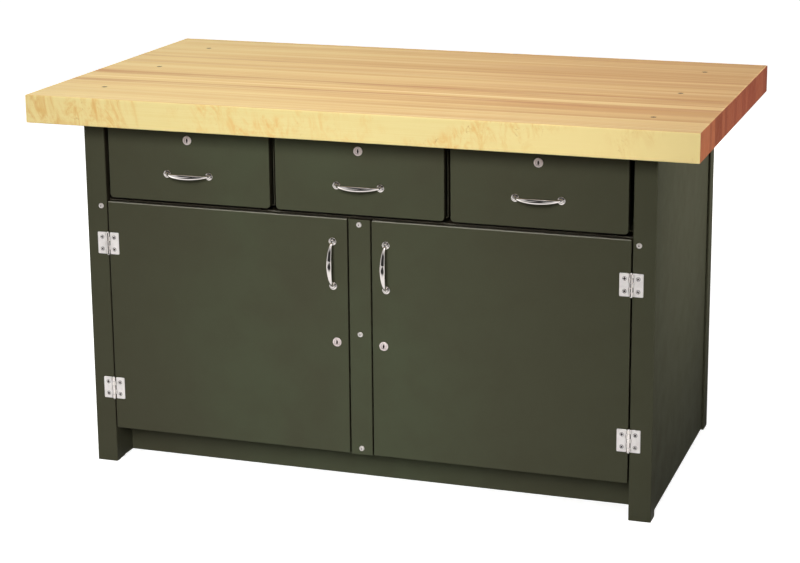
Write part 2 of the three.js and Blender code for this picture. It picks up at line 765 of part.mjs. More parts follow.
const bolts = [
  { name: "left_post_bolt", x: -postBoltX, z: frameBoltZ },
  { name: "right_post_bolt", x: postBoltX, z: frameBoltZ },
  { name: "mullion_upper_bolt", x: 0, z: frameBoltZ },
  { name: "mullion_middle_bolt", x: 0, z: shelfBoltZ },
  { name: "mullion_lower_bolt", x: 0, z: panBoltZ },
];
for (const { name, x, z } of bolts) {
  place(bench, name, frameBolt(), zinc).position.set(x, frontY, z);
}

// Drawers: each group has its origin at the foot of the front, in the front plane
for (let i = 0; i < DRAWER_COUNT; i += 1) {
  const drawer = new THREE.Group();
  drawer.position.set((i - (DRAWER_COUNT - 1) / 2) * drawerPitch, frontY, drawerBottom);
  bench.add(drawer);
  const lockZ = DRAWER_FRONT_HEIGHT - DRAWER_LOCK_DROP;
  const front = facePan(drawerWidth, DRAWER_FRONT_HEIGHT, DRAWER_CORNER, DOOR_CORNER);
  const label = `drawer_${i + 1}`;
  place(drawer, `${label}_front`, cut(front, lockHole(0, lockZ)), paint);
  place(drawer, `${label}_body`, drawerBody(), paint);
  place(drawer, `${label}_pull`, bowPull(), chrome).position.z = DRAWER_PULL_RISE;
  place(drawer, `${label}_lock_case`, lockCase(), chrome).position.z = lockZ;
  place(drawer, `${label}_lock_plug`, lockPlug(DRAWER_CAM, Math.PI / 2), chrome).position.z = lockZ;
}

// Doors: each group has its origin on the hinge pins, level with the door's foot
for (const { name, sign } of sides) {
  const door = new THREE.Group();
  door.position.set(sign * hingeX, hingeY, doorBottom);
  bench.add(door);
  const faceY = frontY - hingeY;
  const middleX = (sign * (doorInner + doorOuter)) / 2;
  const panX = middleX - sign * hingeX;
  const lockX = sign * (doorInner + DOOR_LOCK_INSET);
  const pan = facePan(doorWidth, doorHeight, DOOR_CORNER, DOOR_CORNER);
  const panel = cut(pan, lockHole(lockX - middleX, DOOR_LOCK_RISE));
  place(door, `${name}_door_panel`, panel, paint).position.set(panX, faceY, 0);
  place(door, `${name}_door_stiffener`, doorStiffener(), paint).position.set(panX, faceY, 0);

  const pull = place(door, `${name}_door_pull`, bowPull(), chrome);
  const pullX = sign * (doorInner + DOOR_PULL_INSET - hingeX);
  pull.position.set(pullX, faceY, doorHeight - DOOR_PULL_DROP);
  pull.rotation.y = Math.PI / 2;

  const lockPlace = new THREE.Vector3(lockX - sign * hingeX, faceY, DOOR_LOCK_RISE);
  place(door, `${name}_door_lock_case`, lockCase(), chrome).position.copy(lockPlace);
  place(door, `${name}_door_lock_plug`, lockPlug(DOOR_CAM, 0), chrome).position.copy(lockPlace);

  const hinges = [
    { level: "upper", z: doorHeight - HINGE_INSET },
    { level: "lower", z: HINGE_INSET },
  ];
  for (const { level, z } of hinges) {
    place(door, `${name}_${level}_hinge_door_leaf`, hingeLeaf(-sign, false), zinc).position.z = z;
    const frameLeaf = place(bench, `${name}_${level}_hinge_frame_leaf`, hingeLeaf(sign, true), zinc);
    frameLeaf.position.set(sign * hingeX, hingeY, doorBottom + z);
    const pin = place(bench, `${name}_${level}_hinge_pin`, hingePin(), zinc);
    pin.position.set(sign * hingeX, hingeY, doorBottom + z);
  }
}

export default bench;
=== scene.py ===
import json
import math

import bmesh
import bpy
from mathutils import Matrix, Vector

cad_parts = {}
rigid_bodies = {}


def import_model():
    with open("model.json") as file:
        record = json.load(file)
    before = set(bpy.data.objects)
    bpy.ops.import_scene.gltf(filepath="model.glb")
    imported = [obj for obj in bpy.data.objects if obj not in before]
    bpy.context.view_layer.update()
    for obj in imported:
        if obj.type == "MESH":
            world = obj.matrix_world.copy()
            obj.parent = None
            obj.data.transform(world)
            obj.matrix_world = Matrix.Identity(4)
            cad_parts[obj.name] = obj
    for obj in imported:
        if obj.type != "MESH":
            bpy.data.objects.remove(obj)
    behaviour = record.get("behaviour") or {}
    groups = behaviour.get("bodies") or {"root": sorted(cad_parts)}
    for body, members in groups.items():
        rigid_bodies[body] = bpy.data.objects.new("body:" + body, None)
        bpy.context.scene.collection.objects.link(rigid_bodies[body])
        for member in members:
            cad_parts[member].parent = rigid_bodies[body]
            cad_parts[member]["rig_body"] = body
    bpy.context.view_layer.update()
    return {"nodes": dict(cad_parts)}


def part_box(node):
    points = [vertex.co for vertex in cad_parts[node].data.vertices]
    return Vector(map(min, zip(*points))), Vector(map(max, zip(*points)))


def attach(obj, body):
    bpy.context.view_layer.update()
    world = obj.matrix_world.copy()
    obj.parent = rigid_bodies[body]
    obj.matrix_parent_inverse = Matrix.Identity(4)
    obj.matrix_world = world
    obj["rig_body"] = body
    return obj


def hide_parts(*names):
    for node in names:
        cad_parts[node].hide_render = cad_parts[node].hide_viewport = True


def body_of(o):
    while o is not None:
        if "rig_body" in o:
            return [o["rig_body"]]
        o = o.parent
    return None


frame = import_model()

MM = 0.001
NODE_BODY = {node: body for node in frame["nodes"] for body in body_of(frame["nodes"][node])}

# Where the six fixing bolts show in the worktop, in millimetres from its middle
FIXING_X = 636.0
FIXING_YS = (-290.0, 0.0, 291.0)


# Node materials
class Nodes:
    """A node tree, with short ways to add to it."""

    def __init__(self, tree):
        self.tree = tree
        tree.nodes.clear()

    def put(self, socket, value):
        """Links a socket to another one, or sets its value."""
        if isinstance(value, bpy.types.NodeSocket):
            self.tree.links.new(value, socket)
        elif socket.type == "RGBA":
            socket.default_value = (*value, 1.0)
        else:
            socket.default_value = value

    def add(self, kind, inputs=None, **settings):
        node = self.tree.nodes.new(kind)
        for name, value in settings.items():
            setattr(node, name, value)
        for name, value in (inputs or {}).items():
            self.put(node.inputs[name], value)
        return node

    def math(self, operation, *values):
        return self.add("ShaderNodeMath", dict(enumerate(values)), operation=operation).outputs[0]

    def plus(self, total, *others):
        for other in others:
            total = self.math("ADD", total, other)
        return total

    def minus(self, a, b):
        return self.math("SUBTRACT", a, b)

    def times(self, a, b):
        return self.math("MULTIPLY", a, b)

    def magnitude(self, a):
        return self.math("ABSOLUTE", a)

    def mix(self, share, a, b):
        return self.add("ShaderNodeMix", {0: share, 6: a, 7: b}, data_type="RGBA").outputs[2]

    def spread(self, value, low, high, to_low=0.0, to_high=1.0):
        """Goes smoothly from to_low to to_high as the value goes from low to high."""
        ends = {"From Min": low, "From Max": high, "To Min": to_low, "To Max": to_high}
        node = self.add("ShaderNodeMapRange", {"Value": value, **ends}, interpolation_type="SMOOTHSTEP")
        return node.outputs[0]

    def place(self, kind="Object"):
        """Coordinates of a kind, whole and as x, y and z."""
        where = self.add("ShaderNodeTexCoord").outputs[kind]
        return where, *self.add("ShaderNodeSeparateXYZ", {0: where}).outputs

    def vector(self, x, y, z):
        return self.add("ShaderNodeCombineXYZ", {0: x, 1: y, 2: z}).outputs[0]

    def noise(self, where, scale, detail=3.0, roughness=0.5, distortion=0.0):
        node = self.add("ShaderNodeTexNoise", {"Vector": where, "Scale": scale, "Detail": detail,
                                               "Roughness": roughness, "Distortion": distortion})
        return node.outputs[0]

    def stretched(self, axes, scales, detail=3.0, roughness=0.5, distortion=0.0):
        """Noise with a scale of its own along each axis."""
        spot = self.vector(*(self.times(axis, scale) for axis, scale in zip(axes, scales)))
        return self.noise(spot, 1.0, detail, roughness, distortion)

    def random(self, x, y):
        node = self.add("ShaderNodeTexWhiteNoise", {"Vector": self.vector(x, y, 0.0)}, noise_dimensions="2D")
        return node.outputs["Value"]


class Finish(Nodes):
    """A material with one surface shader."""

    def __init__(self, name):
        self.material = bpy.data.materials.new(name)
        self.material.use_nodes = True
        super().__init__(self.material.node_tree)
        self.surface = self.add("ShaderNodeBsdfPrincipled")
        self.add("ShaderNodeOutputMaterial", {"Surface": self.surface.outputs[0]})

    def shader(self, **values):
        for name, value in values.items():
            self.put(self.surface.inputs[name.replace("_", " ")], value)

    def bump(self, height, strength, distance):
        node = self.add("ShaderNodeBump", {"Height": height, "Strength": strength, "Distance": distance})
        self.shader(Normal=node.outputs[0])

    def facing(self):
        """How far the surface faces along x, y and z."""
        true = self.add("ShaderNodeNewGeometry").outputs["True Normal"]
        return self.add("ShaderNodeSeparateXYZ", {0: true}).outputs

    def edges(self, radius, low, high):
        """A mask of the edges, where a rounded normal leaves the plain one: worn edges, and on the enamel
        also a painted edge highlight.
        """
        rounded = self.add("ShaderNodeBevel", {"Radius": radius}, samples=6).outputs[0]
        plain = self.add("ShaderNodeNewGeometry").outputs["Normal"]
        both = self.add("ShaderNodeVectorMath", {0: rounded, 1: plain}, operation="DOT_PRODUCT")
        return self.spread(self.minus(1.0, both.outputs["Value"]), low, high)

    def corners(self, reach):
        """A mask of the inside corners, from ambient occlusion: where shade falls and dirt settles."""
        node = self.add("ShaderNodeAmbientOcclusion", {"Distance": reach}, samples=8)
        return self.minus(1.0, node.outputs["AO"])


def enamel():
    """Olive baked enamel: a slow drift of tone with a painted sheen towards the front's middle, painted shade
    and brown dirt in corners, painted highlights on forward-facing folds, orange peel, and rubbed edges with
    a painted edge highlight.
    """
    olive = (0.0570, 0.0562, 0.0350)
    greener_tone_and_sheen = (0.0625, 0.0700, 0.0415)
    clouded = (0.0500, 0.0480, 0.0290)
    speckled = (0.078, 0.082, 0.055)
    painted_fold_highlight = (0.235, 0.230, 0.190)
    brown_dirt_and_shade = (0.020, 0.014, 0.009)
    rubbed_pale_and_highlight = (0.105, 0.108, 0.080)
    look = Finish("olive_enamel")
    where, x, _, z = look.place()
    drift = look.noise(where, 2.3, 3.0, 0.55)
    cloud = look.noise(where, 14.0, 4.0, 0.6)
    # Painted sheen: the greenish tone gathers towards the middle of the front, near x = -0.08, and fades to a
    # fifth at the ends; the rest of the drift is the enamel's own tone
    aside = look.magnitude(look.plus(x, 0.08))
    drift_and_sheen_share = look.times(look.spread(drift, 0.25, 0.60), look.spread(aside, 0.12, 0.48, 1.0, 0.2))
    tone = look.mix(drift_and_sheen_share, olive, greener_tone_and_sheen)
    tone = look.mix(look.spread(cloud, 0.35, 0.75, 0.0, 0.30), tone, clouded)
    speck = look.noise(where, 420.0, 1.0)
    tone = look.mix(look.spread(speck, 0.62, 0.74, 0.0, 0.22), tone, speckled)

    # Painted highlight: folds that face forward and up are painted bright, where they would catch the light
    facing = look.facing()
    fold_highlight = look.times(look.spread(facing[2], 0.20, 0.35), look.spread(facing[1], -0.30, -0.15, 1.0, 0.0))
    tone = look.mix(look.times(fold_highlight, look.spread(cloud, 0.3, 0.7, 0.75, 1.0)), tone, painted_fold_highlight)
    # Painted shade and dirt: inside corners darkened brown, except near the floor
    corner = look.spread(look.corners(0.06), 0.30, 0.80, 0.0, 0.90)
    tone = look.mix(look.times(corner, look.spread(z, 0.02, 0.10)), tone, brown_dirt_and_shade)
    # Paler edges: rubbed wear and a painted edge highlight
    rub_and_highlight = look.edges(0.0024, 0.02, 0.22)
    tone = look.mix(look.times(rub_and_highlight, look.spread(cloud, 0.3, 0.6, 0.15, 0.45)), tone, rubbed_pale_and_highlight)

    peel = look.noise(where, 300.0, 2.0, 0.5)
    wave = look.noise(where, 9.0, 2.0, 0.4)
    look.bump(look.plus(look.times(peel, 0.12), wave), 0.05, 0.002)
    rough = look.spread(cloud, 0.3, 0.8, 0.38, 0.48)
    look.shader(Base_Color=tone, Roughness=rough, Specular_IOR_Level=0.06)
    return look.material


# Width of the worktop's glued strips, in metres
STRIP_WIDTH = 0.037
# Streaks that run the length of the worktop: metres from its middle line, half width in metres, strength
RED_STREAKS = ((-0.090, 0.034, 1.0), (-0.196, 0.028, 0.90), (0.156, 0.012, 0.85), (0.060, 0.008, 0.55))
PALE_STREAKS = ((-0.150, 0.009, 0.75), (-0.128, 0.005, 0.40))


class Hardwood(Finish):
    """Laminated hardwood: glued strips along the bench, figured long edges and end grain."""

    def __init__(self):
        super().__init__("laminated_hardwood")
        _, *self.axes = self.place()
        self.x, self.y, self.z = self.axes
        waves = [self.times(self.math("SINE", self.times(self.y, pace)), reach)
                 for pace, reach in ((41.0, 0.008), (97.0, 0.004))]
        across = self.math("DIVIDE", self.plus(self.y, self.plus(*waves)), STRIP_WIDTH)
        strip = self.math("FLOOR", across)
        self.own = self.random(strip, 3.0)
        self.into = self.minus(across, strip)
        near_seam, far_seam = self.spread(self.into, 0.0, 0.028, 1.0, 0.0), self.spread(self.into, 0.985, 1.0)
        self.seam = self.plus(near_seam, far_seam)
        self.along = self.plus(self.x, self.times(self.own, 41.0))
        self.streaks = self.grain((0.8, 46.0, 46.0), 4.0, 0.55, 0.5)
        self.fine = self.grain((4.5, 420.0, 420.0), 4.0, 0.6)

    def grain(self, scales, *settings):
        """Noise that starts afresh in each strip."""
        return self.stretched((self.along, self.y, self.z), scales, *settings)

    def top(self):
        """Paler yellow at the left and tanner to the right, partly the wood's own tone and partly painted
        light falling from the left; each strip with a tone of its own.
        """
        yellow, tan, brown = (0.795, 0.620, 0.305), (0.725, 0.500, 0.236), (0.620, 0.360, 0.163)
        slow = self.stretched(self.axes, (1.3, 3.0, 1.0), 2.0)
        lines = self.grain((1.6, 150.0, 150.0), 3.0, 0.6, 0.3)
        apart = self.times(self.minus(self.own, 0.5), self.spread(self.x, -0.1, 0.6, 0.0, 0.30))
        # Painted light in part: the tone runs browner and darker along x, leaving the left paler
        tone = self.plus(self.times(self.x, 0.30), self.times(self.own, 0.22), apart)
        for layer, share in ((self.streaks, 0.98), (lines, 0.66), (slow, 0.30), (self.fine, 0.18)):
            tone = self.plus(tone, self.times(layer, share))
        ramp = self.add("ShaderNodeValToRGB", {0: self.spread(tone, 0.70, 1.62)})
        stops = ramp.color_ramp.elements
        stops[0].color = (*yellow, 1.0)
        stops[1].color = (*brown, 1.0)
        stops.new(0.5).color = (*tan, 1.0)
        return ramp.outputs[0]

    def streaked(self, top):
        """Long red and pale streaks that wander and break, and the glue lines."""
        red, pale, glue = (0.53, 0.245, 0.105), (0.90, 0.70, 0.39), (0.36, 0.17, 0.07)
        wander = self.times(self.minus(self.stretched(self.axes, (1.6, 9.0, 1.0), 2.0), 0.5), 0.05)
        lane = self.plus(self.y, wander)
        broken = self.spread(self.grain((2.2, 120.0, 1.0), 3.0, 0.6), 0.36, 0.66, 0.1, 1.0)
        for streak_set, colour in ((RED_STREAKS, red), (PALE_STREAKS, pale)):
            for off, half, strength in streak_set:
                near = self.magnitude(self.minus(lane, off))
                share = self.times(self.spread(near, 0.15 * half, half, strength, 0.0), broken)
                top = self.mix(share, top, colour)
        return self.mix(self.times(self.seam, 0.22), top, glue)

    def shade_round_fixings(self, top):
        """Painted shade: dark rings round the fixing bolts, in place of the shadow of their countersinks."""
        countersink_shade = (0.26, 0.15, 0.07)
        beside = self.minus(self.magnitude(self.x), FIXING_X * MM)
        nearest = 1.0
        for fixing_y in FIXING_YS:
            off = self.minus(self.y, fixing_y * MM)
            reach = self.math("SQRT", self.plus(self.times(beside, beside), self.times(off, off)))
            nearest = self.math("MINIMUM", reach, nearest)
        ring = self.spread(nearest, 0.0045, 0.0105, 1.0, 0.0)
        uneven = self.times(ring, self.spread(self.fine, 0.3, 0.7, 0.5, 1.0))
        return self.mix(self.times(uneven, 0.45), top, countersink_shade)

    def long_edge(self):
        """One pale board with an orange flame figure, thickest at the left, and brown flecks; painted light
        makes it paler towards both ends, the right end most.
        """
        straw, dull_straw, painted_light_cream = (0.745, 0.628, 0.288), (0.700, 0.558, 0.228), (0.900, 0.725, 0.325)
        orange, brown = (0.715, 0.390, 0.110), (0.50, 0.25, 0.08)
        slant = self.plus(self.x, self.times(self.z, 0.22))
        flame = self.stretched((slant, self.y, self.z), (36.0, 1.0, 15.0), 6.0, 0.74, 0.9)
        to_left = self.spread(self.x, -0.70, -0.25, 0.16, -0.06)
        to_right = self.spread(self.x, 0.15, 0.45, 0.0, 0.08)
        patch = self.plus(self.stretched(self.axes, (5.0, 1.0, 7.0), 2.0, 0.5, 0.4), to_left, to_right)
        figure = self.times(self.spread(flame, 0.42, 0.68), self.spread(patch, 0.44, 0.66))
        edge = self.mix(self.spread(self.fine, 0.25, 0.75, 0.0, 0.5), straw, dull_straw)
        # Painted light: paler towards both ends, the right end most, where the lamp's light falls off
        reach = self.plus(self.magnitude(self.x), self.times(self.x, 0.25))
        edge = self.mix(self.spread(reach, 0.15, 0.85, 0.0, 0.95), edge, painted_light_cream)
        edge = self.mix(self.times(figure, 0.78), edge, orange)
        curl = self.stretched(self.axes, (90.0, 1.0, 60.0), 3.0, 0.6, 2.0)
        fleck = self.times(self.spread(curl, 0.64, 0.72), self.spread(patch, 0.44, 0.6))
        return self.mix(self.times(fleck, 0.5), edge, brown)

    def end_grain(self):
        """A tone to each strip, with close growth rings and pores, and painted shade that darkens it to the
        rear.
        """
        light, dark = (0.645, 0.214, 0.098), (0.365, 0.104, 0.048)
        late_wood, pore = (0.26, 0.075, 0.038), (0.19, 0.060, 0.032)
        glue, rear = (0.14, 0.045, 0.026), (0.14, 0.032, 0.020)
        pith = self.vector(0.0, self.plus(self.times(self.into, 0.030), self.times(self.own, 0.05)),
                           self.plus(self.z, self.times(self.own, 0.09)))
        wave = {"Vector": pith, "Scale": 95.0, "Distortion": 2.5, "Detail": 2.0, "Detail Scale": 1.5}
        rings = self.add("ShaderNodeTexWave", wave, wave_type="RINGS").outputs["Fac"]
        pores = self.stretched(self.axes, (1.0, 900.0, 900.0), 2.0)
        ends = self.mix(self.spread(self.own, 0.1, 0.9), light, dark)
        ends = self.mix(self.times(rings, 0.32), ends, late_wood)
        ends = self.mix(self.spread(pores, 0.55, 0.75, 0.0, 0.35), ends, pore)
        ends = self.mix(self.times(self.seam, 0.45), ends, glue)
        # Painted shade: darker towards the rear
        return self.mix(self.spread(self.y, -0.45, -0.08, 0.0, 0.70), ends, rear)

    def dress(self):
        """Puts each side's figure where the surface faces that way, and wears the edges."""
        worn_edge = (0.80, 0.58, 0.30)
        facing = self.facing()
        on_end, on_edge = (self.math("GREATER_THAN", self.magnitude(way), 0.8) for way in facing[:2])
        top = self.shade_round_fixings(self.streaked(self.top()))
        colour = self.mix(on_end, self.mix(on_edge, top, self.long_edge()), self.end_grain())
        colour = self.mix(self.times(self.edges(0.003, 0.03, 0.25), 0.25), colour, worn_edge)
        self.bump(self.minus(self.times(self.fine, 0.5), self.times(self.seam, 0.5)), 0.12, 0.001)
        rough = self.spread(self.streaks, 0.3, 0.7, 0.44, 0.56)
        self.shader(Base_Color=colour, Roughness=rough, Specular_IOR_Level=0.15)
        return self.material


def plated(name, bright, dull, polish, haze, grain, metal=1.0):
    """Plated metal: a bright coat with cloudy haze and fine handling marks."""
    look = Finish(name)
    where, *axes = look.place()
    cloud = look.noise(where, 60.0, 4.0, 0.6)
    scuff = look.stretched(axes, (2.0 * grain, 2.0 * grain, grain), 3.0, 0.7, 0.4)
    colour = look.mix(look.spread(cloud, 0.35, 0.8), bright, dull)
    rough = look.plus(look.spread(cloud, 0.3, 0.8, polish, haze), look.spread(scuff, 0.5, 0.8, 0.0, 0.08))
    look.bump(scuff, 0.03, 0.0004)
    look.shader(Base_Color=colour, Metallic=metal, Roughness=rough)
    return look.material


def recess_shade():
    """Painted shade: a dark material in key slots, screws' crosses, dimples and the rings round fasteners,
    where they lie in shade.
    """
    deepest_shade, dim_shade = (0.012, 0.009, 0.008), (0.045, 0.032, 0.028)
    look = Finish("slot_shade")
    where, *_ = look.place()
    colour = look.mix(look.noise(where, 900.0, 3.0), deepest_shade, dim_shade)
    look.shader(Base_Color=colour, Roughness=0.7, Specular_IOR_Level=0.1)
    return look.material


ENAMEL = enamel()
HARDWOOD = Hardwood().dress()
CHROME = plated("polished_chrome", (0.90, 0.84, 0.80), (0.80, 0.74, 0.70),
                polish=0.03, haze=0.08, grain=500.0)
NICKEL = plated("satin_nickel", (0.82, 0.72, 0.70), (0.70, 0.60, 0.58),
                polish=0.30, haze=0.40, grain=700.0, metal=0.32)
ZINC = plated("bright_zinc", (0.88, 0.84, 0.82), (0.76, 0.72, 0.70),
              polish=0.42, haze=0.54, grain=800.0, metal=0.22)
STEEL = plated("dull_steel", (0.80, 0.75, 0.72), (0.64, 0.59, 0.56),
               polish=0.30, haze=0.44, grain=800.0, metal=0.52)
DARK_STEEL = plated("oiled_steel", (0.30, 0.20, 0.12), (0.16, 0.10, 0.06),
                    polish=0.34, haze=0.48, grain=800.0)
# A dark material that paints the shade in recesses
RECESS_SHADE = recess_shade()

# Places in a piece's list of materials: its metal, the painted shade of a recess, and a hinge's polished
# knuckles
METAL, DARK, POLISHED = 0, 1, 2


# Meshes in millimetres, built round the y axis with the front towards -y
class Shape:
    """Solids gathered into one mesh. A solid is its points, its faces and the finish of each face."""

    def __init__(self):
        self.points, self.faces, self.finishes = [], [], []

    def add(self, solid, at=(0.0, 0.0, 0.0), turn=None):
        points, faces, finishes = solid
        first = len(self.points)
        moved = (Vector(point) for point in points)
        if turn is not None:
            moved = (turn @ point for point in moved)
        self.points += [point + Vector(at) for point in moved]
        self.faces += [tuple(first + i for i in face) for face in faces]
        self.finishes += finishes


def lathe(rings, sides=40):
    """Turns rings of radius, y and finish of the band behind, about y. A radius may depend on the angle."""
    points, rows = [], []
    for radius, y, *_ in rings:
        if radius == 0:
            rows.append([len(points)])
            points.append((0.0, y, 0.0))
            continue
        rows.append(range(len(points), len(points) + sides))
        for i in range(sides):
            angle = 2 * math.pi * i / sides
            reach = radius(angle) if callable(radius) else radius
            points.append((reach * math.cos(angle), y, reach * math.sin(angle)))
    faces, finishes = [], []
    for near, far, (_, _, *finish) in zip(rows, rows[1:], rings):
        for i in range(sides):
            j = (i + 1) % sides
            corners = [near[i % len(near)], far[i % len(far)], far[j % len(far)], near[j % len(near)]]
            faces.append(tuple(dict.fromkeys(corners)))
            finishes.append(finish[0] if finish else METAL)
    return points, faces, finishes


def slot_edge(half_wide, half_high):
    """The outline of a slot, as a radius at each angle."""
    def radius(angle):
        across, up = abs(math.cos(angle)) + 1e-9, abs(math.sin(angle)) + 1e-9
        return min(half_wide / across, half_high / up)
    return radius


def cross_edge(half_arm, reach):
    """The outline of a cross, as a radius at each angle."""
    wide, tall = slot_edge(reach, half_arm), slot_edge(half_arm, reach)

    def radius(angle):
        return max(wide(angle), tall(angle))
    return radius


def hexagon(apothem):
    """The outline of a hexagon, as a radius at each angle."""
    def radius(angle):
        return apothem / math.cos((angle % (math.pi / 3)) - math.pi / 6)
    return radius


def rounded_plan(left, low, right, high, corner, steps=4):
    """The outline of a rectangle with round corners, in x and z."""
    spots = []
    for centre_x, centre_z, start in ((right - corner, low + corner, -90), (right - corner, high - corner, 0),
                                      (left + corner, high - corner, 90), (left + corner, low + corner, 180)):
        for i in range(steps + 1):
            angle = math.radians(start + 90 * i / steps)
            spots.append((centre_x + corner * math.cos(angle), centre_z + corner * math.sin(angle)))
    return spots


def stacked(outlines):
    """A solid through outlines in x and z, each with its y."""
    points, count = [], len(outlines[0][0])
    for outline, y in outlines:
        points += [(x, y, z) for x, z in outline]
    last = len(points) - count
    faces = [tuple(range(count)), tuple(range(last, last + count))]
    for row in range(0, last, count):
        for i in range(count):
            j = (i + 1) % count
            faces.append((row + i, row + j, row + count + j, row + count + i))
    return points, faces, [METAL] * len(faces)


def plate(left, low, right, high, corner, front, back, ease):
    """A flat plate in the xz plane with round corners and an eased front edge."""
    eased = rounded_plan(left + ease, low + ease, right - ease, high - ease, corner)
    full = rounded_plan(left, low, right, high, corner + ease)
    return stacked([(eased, front), (full, front + ease), (full, back)])


def upright(solid):
    """Stands a solid on end, from the y axis to the z axis."""
    points, faces, finishes = solid
    return [(x, -z, y) for x, y, z in points], faces, finishes


def piece(name, shape, finishes, body, stands_for=(), crease=38):
    """A visible piece that rides a body, in place of the nodes that it stands for."""
    mesh = bpy.data.meshes.new(name)
    mesh.from_pydata([point * MM for point in shape.points], [], shape.faces)
    for material in finishes:
        mesh.materials.append(material)
    mesh.polygons.foreach_set("material_index", shape.finishes)
    work = bmesh.new()
    work.from_mesh(mesh)
    bmesh.ops.recalc_face_normals(work, faces=work.faces)
    work.to_mesh(mesh)
    work.free()
    mesh.shade_smooth()
    mesh.set_sharp_from_angle(angle=math.radians(crease))
    thing = bpy.data.objects.new(name, mesh)
    bpy.context.scene.collection.objects.link(thing)
    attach(thing, body)
    if stands_for:
        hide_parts(*stands_for)


def middle(node):
    """A node's middle and its lowest and highest corners, in millimetres."""
    low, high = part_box(node)
    return (low + high) / (2 * MM), low / MM, high / MM


# Bolts of the front frame, in millimetres
FRAME_BOLTS = ("left_post_bolt", "right_post_bolt",
               "mullion_upper_bolt", "mullion_middle_bolt", "mullion_lower_bolt")
BOLT_RADIUS = 6.2
BOLT_RISE = 3.2
BOLT_SHANK = 3.1


def round_bolt(tail):
    """A round head with a dimple in painted shade, and a shank that ends at the tail."""
    chamfer = 0.8
    return lathe([
        (0, 0.85 - BOLT_RISE, DARK),
        (0.16 * BOLT_RADIUS, 0.75 - BOLT_RISE, DARK),
        (0.24 * BOLT_RADIUS, 0.10 - BOLT_RISE),
        (0.32 * BOLT_RADIUS, -BOLT_RISE),
        (0.55 * BOLT_RADIUS, -0.93 * BOLT_RISE),
        (0.75 * BOLT_RADIUS, -0.76 * BOLT_RISE),
        (0.90 * BOLT_RADIUS, -0.50 * BOLT_RISE),
        (0.98 * BOLT_RADIUS, -0.22 * BOLT_RISE),
        (BOLT_RADIUS, 0.0),
        (BOLT_SHANK, 0.0),
        (BOLT_SHANK, tail - chamfer),
        (BOLT_SHANK - chamfer, tail),
        (0, tail),
    ])


for node in FRAME_BOLTS:
    centre, low, high = middle(node)
    seat = low.y + BOLT_RISE
    bolt = Shape()
    bolt.add(round_bolt(high.y - seat), (centre.x, seat, centre.z))
    piece(node + "_fine", bolt, [STEEL, RECESS_SHADE], NODE_BODY[node], [node])


# Fixing bolts of the worktop, in millimetres
FIXING_RISE = 0.45
FIXING_SLOT_HALF_LENGTH = 3.3
FIXING_SLOT_HALF_WIDTH = 0.7


def flush_fixing():
    """A slotted head that stands barely proud of the wood, its slot and the ring round it in painted shade.
    """
    slot = slot_edge(FIXING_SLOT_HALF_LENGTH, FIXING_SLOT_HALF_WIDTH)
    return lathe([
        (0, -0.08, DARK), (slot, -0.08, DARK), (slot, -FIXING_RISE), (3.7, -FIXING_RISE), (4.2, -0.20),
        (4.3, -0.05, DARK), (5.1, -0.05, DARK), (5.4, -0.04, DARK), (5.5, 0.6, DARK), (0, 0.6),
    ], sides=48)


_, worktop_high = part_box("worktop")
lay_flat = Matrix.Rotation(math.radians(-90), 3, "X")
fixings = Shape()
for fixing_x in (-FIXING_X, FIXING_X):
    for row, fixing_y in enumerate(FIXING_YS):
        # Each slot stopped at an angle of its own
        spin = Matrix.Rotation(math.radians(25 + 50 * row + fixing_x / 20), 3, "Y")
        fixings.add(flush_fixing(), (fixing_x, fixing_y, worktop_high.z / MM), lay_flat @ spin)
piece("worktop_fixing_bolts", fixings, [DARK_STEEL, RECESS_SHADE], "cabinet")


# Bow pulls, in millimetres
PULL_HALF_SPAN = 50.8
PULL_PROJECTION = 26.0
PULL_END_RADIUS = 2.7
PULL_WIDENING = 3.3
PULL_THICKENING = 0.8
PULL_FOOT = 9.0
PULL_GAP = 0.3
PULL_SCREW_RADIUS = 4.0
PULL_SCREW_RISE = 2.2
PULL_SCREW_RECESS = 1.0
LYING = Matrix.Identity(3)
STANDING = Matrix.Rotation(math.radians(90), 3, "Y")
PULLS = [(f"drawer_{i}_pull", LYING, f"drawer_{i}") for i in (1, 2, 3)]
PULLS += [(f"{side}_door_pull", STANDING, f"{side}_door") for side in ("left", "right")]


def bezier(ends, share):
    """The point and the direction at a share of the way along a cubic curve."""
    rest = 1 - share
    at = (rest ** 3 * ends[0] + 3 * rest * rest * share * ends[1]
          + 3 * rest * share * share * ends[2] + share ** 3 * ends[3])
    first, second, third = (after - before for before, after in zip(ends, ends[1:]))
    along = 3 * rest * rest * first + 6 * rest * share * second + 3 * share * share * third
    return at, along.normalized()


def squared(value):
    """Swells a sine or cosine a little, so that an oval comes out squarer."""
    return math.copysign(abs(value) ** 0.9, value)


